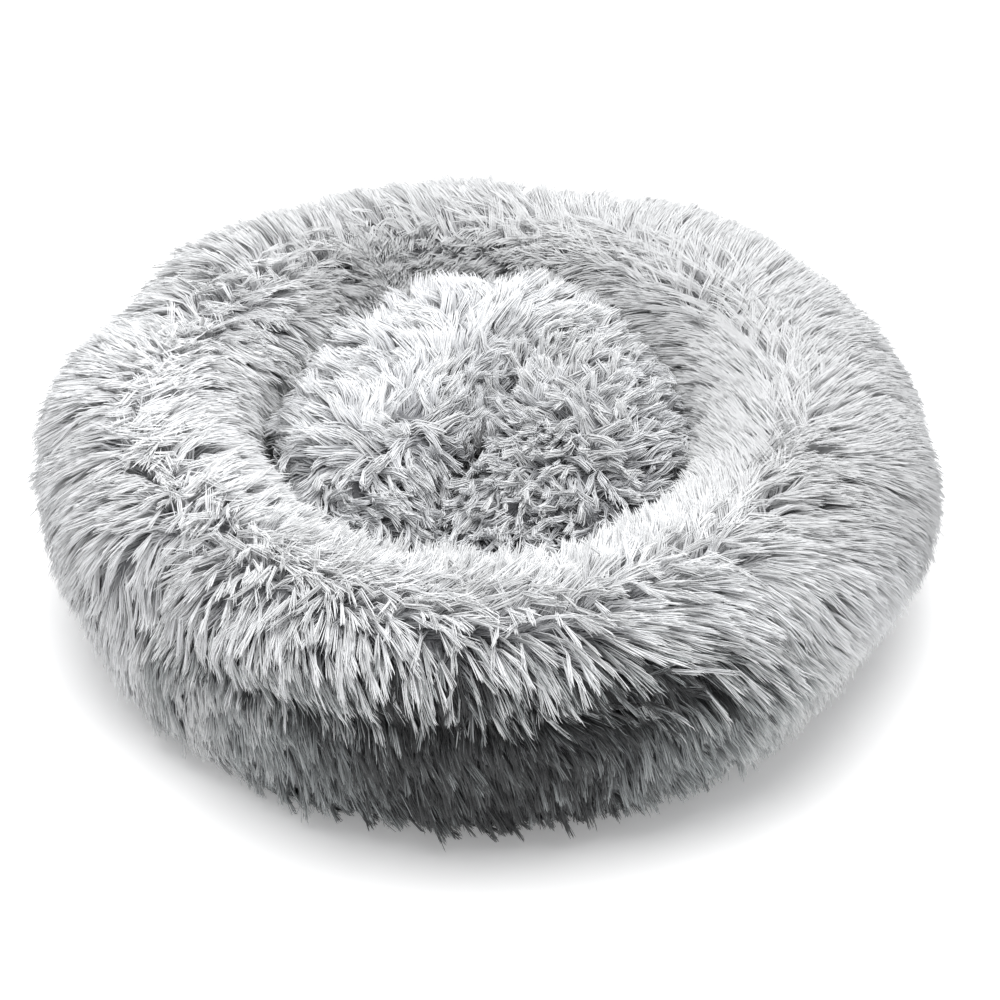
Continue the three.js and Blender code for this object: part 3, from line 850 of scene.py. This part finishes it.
class Nodes:
    """A new material's node tree, with short ways to add and join nodes."""

    def __init__(self, name):
        self.material = bpy.data.materials.new(name)
        self.material.use_nodes = True
        self.tree = self.material.node_tree
        self.shader = self.tree.nodes["Principled BSDF"]

    def add(self, kind, inputs=(), **settings):
        node = self.tree.nodes.new(kind)
        for key, value in settings.items():
            setattr(node, key, value)
        for key, value in dict(inputs).items():
            self.feed(value, node.inputs[key])
        return node

    def feed(self, value, socket):
        if isinstance(value, bpy.types.NodeSocket):
            self.tree.links.new(value, socket)
        else:
            socket.default_value = value

    def finish(self, **values):
        """The material, with the shader's inputs set; an underscore stands for a space."""
        for key, value in values.items():
            self.feed(value, self.shader.inputs[key.replace("_", " ")])
        return self.material

    def ramp(self, factor, stops):
        node = self.add("ShaderNodeValToRGB", {"Fac": factor})
        band = node.color_ramp
        while len(band.elements) < len(stops):
            band.elements.new(0.5)
        for element, (place, colour) in zip(band.elements, stops):
            element.position = place
            element.color = (*colour, 1)
        return node.outputs["Color"]

    def math(self, operation, *values):
        node = self.add("ShaderNodeMath", operation=operation)
        for socket, value in zip(node.inputs, values):
            self.feed(value, socket)
        return node.outputs[0]

    def far(self, x, y):
        """The distance of x, y from the middle."""
        return self.math("SQRT", self.math("ADD", *(self.math("POWER", side, 2.0) for side in (x, y))))

    def split(self, vector):
        node = self.add("ShaderNodeSeparateXYZ", {"Vector": vector})
        return node.outputs["X"], node.outputs["Y"]

    def where(self):
        return self.add("ShaderNodeTexCoord").outputs["Object"]

    def noise(self, scale, detail=3.0):
        inputs = {"Vector": self.where(), "Scale": scale, "Detail": detail}
        return self.add("ShaderNodeTexNoise", inputs).outputs["Fac"]

    def mix(self, first, second, factor):
        node = self.add("ShaderNodeMix", data_type="RGBA")
        for socket, value in zip((0, 6, 7), (factor, first, second)):
            self.feed(value, node.inputs[socket])
        return node.outputs[2]

    def waves(self, place, period, axis, distortion=0.0):
        inputs = {"Vector": place, "Scale": WAVE_PERIOD / period, "Distortion": distortion}
        return self.add("ShaderNodeTexWave", inputs, bands_direction=axis).outputs["Fac"]

    def weave(self, place, period):
        """Over-and-under threads of a plain weave, 1 on top of each."""
        return self.math("MULTIPLY", *(self.waves(place, period, axis) for axis in "XY"))

    def mottle(self, scale, share, threads):
        """Noise, with the rest of the share from the threads: uneven dye."""
        rest = self.math("MULTIPLY", threads, 1 - share)
        return self.math("MULTIPLY_ADD", self.noise(scale), share, rest)

    def bumped(self, height, depth):
        return self.add("ShaderNodeBump", {"Height": height, "Distance": depth}).outputs["Normal"]


def fur_material(name, roots, tips):
    """Fibres are painted darker towards the root, as painted shade of the pile's depth, and deep to pale
    with the strand's own tone.
    """
    n = Nodes(name)
    uv = n.add("ShaderNodeUVMap", uv_map="OFBake").outputs["UV"]
    tone, along = n.split(uv)
    # Painted shade of the pile's depth: darkest at the root, none at the tip.
    rise = n.ramp(along, ((0, (0, 0, 0)), (0.4, (0.34,) * 3), (0.75, (0.81,) * 3), (1, (1, 1, 1))))
    root = n.ramp(tone, roots)
    tip = n.ramp(tone, tips)
    return n.finish(
        Base_Color=n.mix(root, tip, rise), Roughness=0.75, Specular_IOR_Level=0.15,
        Sheen_Weight=0.1, Sheen_Roughness=0.4,
    )


def cloth_material(name, dark, light, period, depth):
    """A plain weave seen from close by, and uneven dye from further off."""
    n = Nodes(name)
    weave = n.weave(n.where(), period)
    colour = n.ramp(n.mottle(60.0, 0.6, weave), ((0.15, dark), (0.8, light)))
    return n.finish(Base_Color=colour, Normal=n.bumped(weave, depth), Roughness=0.9)


def printed_dots(n, x, y):
    """1 on the staggered dots of the base, 0 between them."""
    row = n.math("MULTIPLY_ADD", y, 1 / DOT_ROW, 0.5)
    shift = n.math("FRACT", n.math("MULTIPLY", n.math("FLOOR", row), 0.5))
    column = n.math("ADD", n.math("MULTIPLY_ADD", x, 1 / DOT_PITCH, 0.5), shift)
    off_x = n.math("MULTIPLY", n.math("SUBTRACT", n.math("FRACT", column), 0.5), DOT_PITCH)
    off_y = n.math("MULTIPLY", n.math("SUBTRACT", n.math("FRACT", row), 0.5), DOT_ROW)
    return n.math("LESS_THAN", n.far(off_x, off_y), DOT_RADIUS)


def edge_stitches(n, x, y):
    """1 on the dashes of thread that run round the base's edge."""
    beside = n.math("ABSOLUTE", n.math("SUBTRACT", n.far(x, y), EDGE_STITCH_RADIUS))
    count = round(TURN * EDGE_STITCH_RADIUS / STITCH_PITCH)
    turn = n.math("FRACT", n.math("MULTIPLY", n.math("ARCTAN2", y, x), count / TURN))
    dash = n.math("LESS_THAN", turn, STITCH / STITCH_PITCH)
    return n.math("MULTIPLY", n.math("LESS_THAN", beside, THREAD), dash)


def base_material(name):
    """Coated plain weave, printed with rubber dots, with the edge's stitching showing."""
    n = Nodes(name)
    place = n.where()
    x, y = n.split(place)
    dot = printed_dots(n, x, y)
    thread = edge_stitches(n, x, y)
    weave = n.weave(place, 0.0011)
    dye = ((0.2, (0.055, 0.058, 0.064)), (0.8, (0.12, 0.125, 0.135)))
    cloth = n.ramp(n.mottle(40.0, 0.7, weave), dye)
    rubber = n.ramp(n.noise(300.0), ((0.3, (0.012, 0.012, 0.013)), (0.8, (0.03, 0.03, 0.032))))
    colour = n.mix(n.mix(cloth, rubber, dot), (0.30, 0.31, 0.33, 1), thread)
    height = n.math("MAXIMUM", n.math("MULTIPLY", weave, 0.4), n.math("MAXIMUM", dot, thread))
    return n.finish(
        Base_Color=colour, Normal=n.bumped(height, 0.0004), Roughness=0.7, Specular_IOR_Level=0.35
    )


def tape_material(name, dark, light, rib):
    """Woven tape: slanting ribs that turn back at its middle, as a herringbone."""
    n = Nodes(name)
    x, y = n.split(n.where())
    slant = n.math("ADD", x, n.math("PINGPONG", y, 0.002))
    ribs = n.math("PINGPONG", n.math("MULTIPLY", slant, 1 / rib), 0.5)
    mottle = n.math("MULTIPLY_ADD", ribs, 1.0, n.math("MULTIPLY", n.noise(200.0), 0.4))
    colour = n.ramp(mottle, ((0.15, dark), (0.7, light)))
    return n.finish(Base_Color=colour, Normal=n.bumped(ribs, 0.0003), Roughness=0.85)


def moulded_material(name, dark, light, roughness, metallic=0.0):
    """Moulded plastic or tumbled metal: a fine grain in its colour and surface."""
    n = Nodes(name)
    grit = n.noise(500.0, 5.0)
    colour = n.ramp(grit, ((0.3, dark), (0.7, light)))
    low, high = roughness
    rough = n.math("MULTIPLY_ADD", n.noise(120.0), high - low, low)
    return n.finish(
        Base_Color=colour, Normal=n.bumped(grit, 0.00003), Roughness=rough, Metallic=metallic
    )


def satin_material(name):
    """Blank satin ribbon: fine floating threads across it."""
    n = Nodes(name)
    threads = n.waves(n.where(), 0.0004, "Y", 0.6)
    dye = ((0.2, (0.58, 0.58, 0.56)), (0.7, (0.72, 0.72, 0.70)))
    colour = n.ramp(n.mottle(90.0, 0.5, threads), dye)
    normal = n.bumped(threads, 0.00008)
    return n.finish(Base_Color=colour, Normal=normal, Roughness=0.38, Sheen_Weight=0.3)


# ---------- the underside

BASE_HIGH = np.array(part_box("base_panel_front")[1])
BASE_RADIUS = BASE_HIGH[0]
BASE_CLOTH = 0.0015
RAISED_UNDERSIDE = BASE_HIGH[2] - BASE_CLOTH
RAISED_RADIUS = 0.745 * BASE_RADIUS  # the raised middle, less a margin at its edge
SLOT_HALF_WIDTH = 0.0065
DOT_PITCH = 0.012
DOT_ROW = DOT_PITCH * math.sqrt(0.75)
DOT_RADIUS = 0.0022
DOT_HEIGHT = 0.0011
DOT_INSET = 0.0002  # how far a dot's rim is let into the cloth
THREAD = 0.00028  # radius
STITCH, STITCH_PITCH = 0.0028, 0.0036
LABEL_STITCH, LABEL_STITCH_PITCH = 0.002, 0.0026
EDGE_STITCH_RADIUS = 0.988 * BASE_RADIUS
ZIP_STITCH_Y = 0.0092  # each side of the zip


def dot_places():
    """The staggered dots of the raised middle that are whole: clear of the zip and the label."""
    low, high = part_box("care_label")
    margin = 0.003
    places = []
    rows = int(RAISED_RADIUS / DOT_ROW) + 1
    for j in range(-rows, rows + 1):
        for i in range(-rows, rows + 1):
            x, y = (i - (j % 2) / 2) * DOT_PITCH, j * DOT_ROW
            beside_zip = abs(y) < SLOT_HALF_WIDTH + DOT_RADIUS + margin
            on_label = low.x - margin < x < high.x + margin and low.y < y < high.y + margin
            if math.hypot(x, y) < RAISED_RADIUS and not beside_zip and not on_label:
                places.append((x, y))
    return np.array(places)


def raised_dots(material):
    """Low domes of rubber print: two rings and a middle each."""
    sides = 8
    angle = np.arange(sides) * TURN / sides
    rim = np.stack([np.cos(angle), np.sin(angle), 0 * angle], axis=1)
    edge = rim * DOT_RADIUS + (0, 0, DOT_INSET)
    shoulder = rim * (0.72 * DOT_RADIUS) - (0, 0, 0.7 * DOT_HEIGHT)
    dome = np.concatenate([edge, shoulder, [(0, 0, -DOT_HEIGHT)]])
    points, faces = [], []
    for number, (x, y) in enumerate(dot_places()):
        start = number * len(dome)
        points.append(dome + (x, y, RAISED_UNDERSIDE))
        for k in range(sides):
            a, b = start + k, start + (k + 1) % sides
            faces.append((b, a, a + sides, b + sides))
            faces.append((b + sides, a + sides, start + 2 * sides))
        faces.append(tuple(start + k for k in range(sides)))
    return mesh_object("non_slip_dots", np.concatenate(points), faces, material)


def stitches(name, starts, ends, material):
    """A short thread from each start to each end, its tips dipping up into the cloth."""
    sides = 6
    along = unit(ends - starts)
    across = np.cross(along, (0, 0, 1.0))
    stations = ((0, 1, 0.6), (0.18, 0, 1), (0.82, 0, 1), (1, 1, 0.6))  # share, rise, thickness
    rings = []
    for share, rise, thick in stations:
        middle = starts + (ends - starts) * share + np.array([0, 0, rise * THREAD * 1.6])
        for k in range(sides):
            c, s = math.cos(TURN * k / sides), math.sin(TURN * k / sides)
            rings.append(middle + (across * c + np.array([0, 0, s])) * THREAD * thick)
    points = np.stack(rings, axis=1)
    faces = []
    for number in range(len(starts)):
        start = number * len(rings)
        faces += tube_faces(start, sides, len(stations))
        faces.append(tuple(start + k for k in range(sides))[::-1])
        faces.append(tuple(start + (len(stations) - 1) * sides + k for k in range(sides)))
    return mesh_object(name, points, faces, material)


def stitch_row(x0, x1, y, z, length, pitch):
    """The starts and the ends of the stitches of a row along X."""
    at = np.arange(x0, x1 - length, pitch)
    return [np.stack([at + far, 0 * at + y, 0 * at + z], axis=1) for far in (0, length)]


def add_underside(thread, rubber):
    zip_low, zip_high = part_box("zip_teeth_front")
    label_low, label_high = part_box("care_label")
    dots = raised_dots(rubber)
    z = RAISED_UNDERSIDE - 0.5 * THREAD
    sides = (-ZIP_STITCH_Y, ZIP_STITCH_Y)
    rows = [stitch_row(zip_low.x, zip_high.x, y, z, STITCH, STITCH_PITCH) for y in sides]
    zip_line = stitches("zip_stitching", *(np.concatenate(ends) for ends in zip(*rows)), thread)
    x, y, z = label_low.x + 0.001, label_low.y + 0.003, label_low.z - 0.5 * THREAD
    label_row = stitch_row(x, label_high.x, y, z, LABEL_STITCH, LABEL_STITCH_PITCH)
    label_line = stitches("label_stitching", *label_row, thread)
    for piece, slot in ((dots, "base_cloth"), (zip_line, "binding"), (label_line, "label")):
        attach(piece, "root")


# ---------- camera, floor, light

CAMERA_ELEVATION = 37.5 * DEG
CAMERA_DISTANCE = 2.42
CAMERA_LENS = 127.6
CAMERA_AIM = np.array([0.015, 0.0, 0.0787])
LAMP_AIM = Vector((0, 0, 0.05))
FLOOR_HALF = 6.0
FLOOR_Z = -0.0005
SKY_COLOUR, SKY_STRENGTH = (0.98, 0.985, 1.0, 1), 0.56


def add_camera():
    data = bpy.data.cameras.new("camera")
    data.lens = CAMERA_LENS
    camera = link(bpy.data.objects.new("camera", data))
    back = np.array([0, -math.cos(CAMERA_ELEVATION), math.sin(CAMERA_ELEVATION)])
    camera.location = CAMERA_AIM + back * CAMERA_DISTANCE
    camera.rotation_euler = (math.pi / 2 - CAMERA_ELEVATION, 0, 0)
    bpy.context.scene.camera = camera


def add_light(name, place, size, power):
    data = bpy.data.lights.new(name, "AREA")
    data.shape = "DISK"
    data.size = size
    data.energy = power
    lamp = link(bpy.data.objects.new(name, data))
    lamp.location = place
    lamp.rotation_mode = "QUATERNION"
    lamp.rotation_quaternion = (LAMP_AIM - Vector(place)).to_track_quat("-Z", "Y")


def add_stage():
    sides = ((-1, -1), (1, -1), (1, 1), (-1, 1))
    corners = [(x * FLOOR_HALF, y * FLOOR_HALF, FLOOR_Z) for x, y in sides]
    white = Nodes("floor_white").finish(
        Base_Color=(0.9, 0.9, 0.9, 1), Roughness=0.9, Emission_Strength=0.2
    )
    floor = mesh_object("floor", corners, [(0, 1, 2, 3)], white)
    world = bpy.data.worlds.new("studio")
    world.use_nodes = True
    sky = world.node_tree.nodes["Background"]
    sky.inputs["Color"].default_value = SKY_COLOUR
    sky.inputs["Strength"].default_value = SKY_STRENGTH
    bpy.context.scene.world = world
    bpy.context.scene.view_settings.view_transform = "Standard"


add_camera()
add_stage()
add_light("overhead", (0.0, 0.05, 2.4), size=2.6, power=82)
add_light("key", (0.0, 1.2, 1.9), size=1.4, power=5)

# ---------- build


def build_ring(material):
    """The ring's stuffed backing, and the skin that its fur grows on."""
    theta, phi = RingSkin.angles()
    radius = ring_radius(theta, phi)
    faces = loop_faces(RingSkin.AROUND, RingSkin.SECTION, True)
    backing = mesh_object("ring_backing", ring_point(theta, phi, radius), faces, material)
    filled_skin(backing, held_height=0.02, cap=0.012)
    swollen = coordinates(backing.data)
    out = np.hypot(swollen[:, 0] - CORE_X, swollen[:, 1]) - CREST_RADIUS
    radius = np.hypot(out, swollen[:, 2] - CORE_HEIGHT).reshape(radius.shape)
    return backing, RingSkin(radius)


def build_pad(material):
    """The same for the cushion, whose grid is closed by a face at its top and its underside."""
    around, stacked = 96, 48
    faces = loop_faces(around, stacked, False)
    faces.append(tuple(i * stacked for i in range(around))[::-1])
    faces.append(tuple(i * stacked + stacked - 1 for i in range(around)))
    backing = mesh_object("centre_backing", pad_points(around, stacked), faces, material)
    filled_skin(backing, held_height=0.05, cap=0.010)
    return backing, PadSkin(backing)


# The backing is dyed dark grey as painted shade: where it shows between the locks it stands for the
# pile's shadowy depth.
BACKING = cloth_material("backing_cloth", (0.16, 0.163, 0.173), (0.25, 0.254, 0.264), 0.003, 0.0006)
ring_backing, ring_skin = build_ring(BACKING)
pad_backing, pad_skin = build_pad(BACKING)

for piece, nodes, slot in (
    (ring_backing, ("fur_ring_cover", "ring_liner", "ring_fill"), "ring_fur"),
    (pad_backing, ("fur_centre_cover", "centre_liner", "centre_fill"), "centre_fur"),
):
    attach(piece, "root")
    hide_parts(*nodes)

RING_FUR = fur_material("ring_fur_fibres", RING_ROOTS, RING_TIPS)
PAD_FUR = fur_material("centre_fur_fibres", PAD_ROOTS, PAD_TIPS)


def add_fur(name, pieces, strands, steps, material):
    """The strands cut into sectors, so that no piece is too heavy to handle."""
    angle = np.arctan2(strands.paths[:, 0, 1], strands.paths[:, 0, 0]) % TURN
    for k in range(pieces):
        pick = (angle >= k * TURN / pieces) & (angle < (k + 1) * TURN / pieces)
        cut = Strands(*(each[pick] for each in strands))
        obj = strand_mesh(f"{name}_{k + 1:02d}", cut, steps, material)
        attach(obj, "root")


THINNED = 1
ring_strands = ring_fur(ring_skin, RING_PILE.locks // THINNED)
add_fur("ring_fur", 26, ring_strands, LONG_STEPS, RING_FUR)
pad_strands = pad_fur(pad_skin, PAD_PILE.locks // THINNED)
add_fur("centre_fur", 8, pad_strands, CURLED_STEPS, PAD_FUR)

ZINC = moulded_material("tumbled_zinc", (0.50, 0.51, 0.53), (0.66, 0.67, 0.69), (0.28, 0.42), 1.0)
ACETAL = moulded_material("moulded_acetal", (0.05, 0.053, 0.058), (0.08, 0.083, 0.09), (0.38, 0.5))
BINDING = tape_material("binding_tape", (0.04, 0.043, 0.05), (0.09, 0.095, 0.105), 0.0012)
ZIP_TAPE = tape_material("zip_tape_cloth", (0.06, 0.063, 0.07), (0.12, 0.125, 0.135), 0.0009)
CAD_FINISHES = (
    (base_material("base_cloth_dotted"), ("base_panel_front", "base_panel_rear")),
    (BINDING, ("base_edge_binding", "centre_seam_tape")),
    (ZIP_TAPE, ("zip_tape_front", "zip_tape_rear")),
    (ACETAL, ("zip_teeth_front", "zip_teeth_rear")),
    (ZINC, ("zip_top_stop_front", "zip_top_stop_rear", "zip_bottom_stop", "zip_slider", "zip_pull_tab")),
    (satin_material("label_satin"), ("care_label",)),
)
for finish, nodes in CAD_FINISHES:
    for node in nodes:
        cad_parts[node].material_slots[0].material = finish

THREAD_CLOTH = tape_material("sewing_thread", (0.22, 0.225, 0.24), (0.34, 0.345, 0.36), 0.0005)
RUBBER = moulded_material("rubber_print", (0.012, 0.012, 0.013), (0.03, 0.03, 0.032), (0.5, 0.65))
add_underside(THREAD_CLOTH, RUBBER)
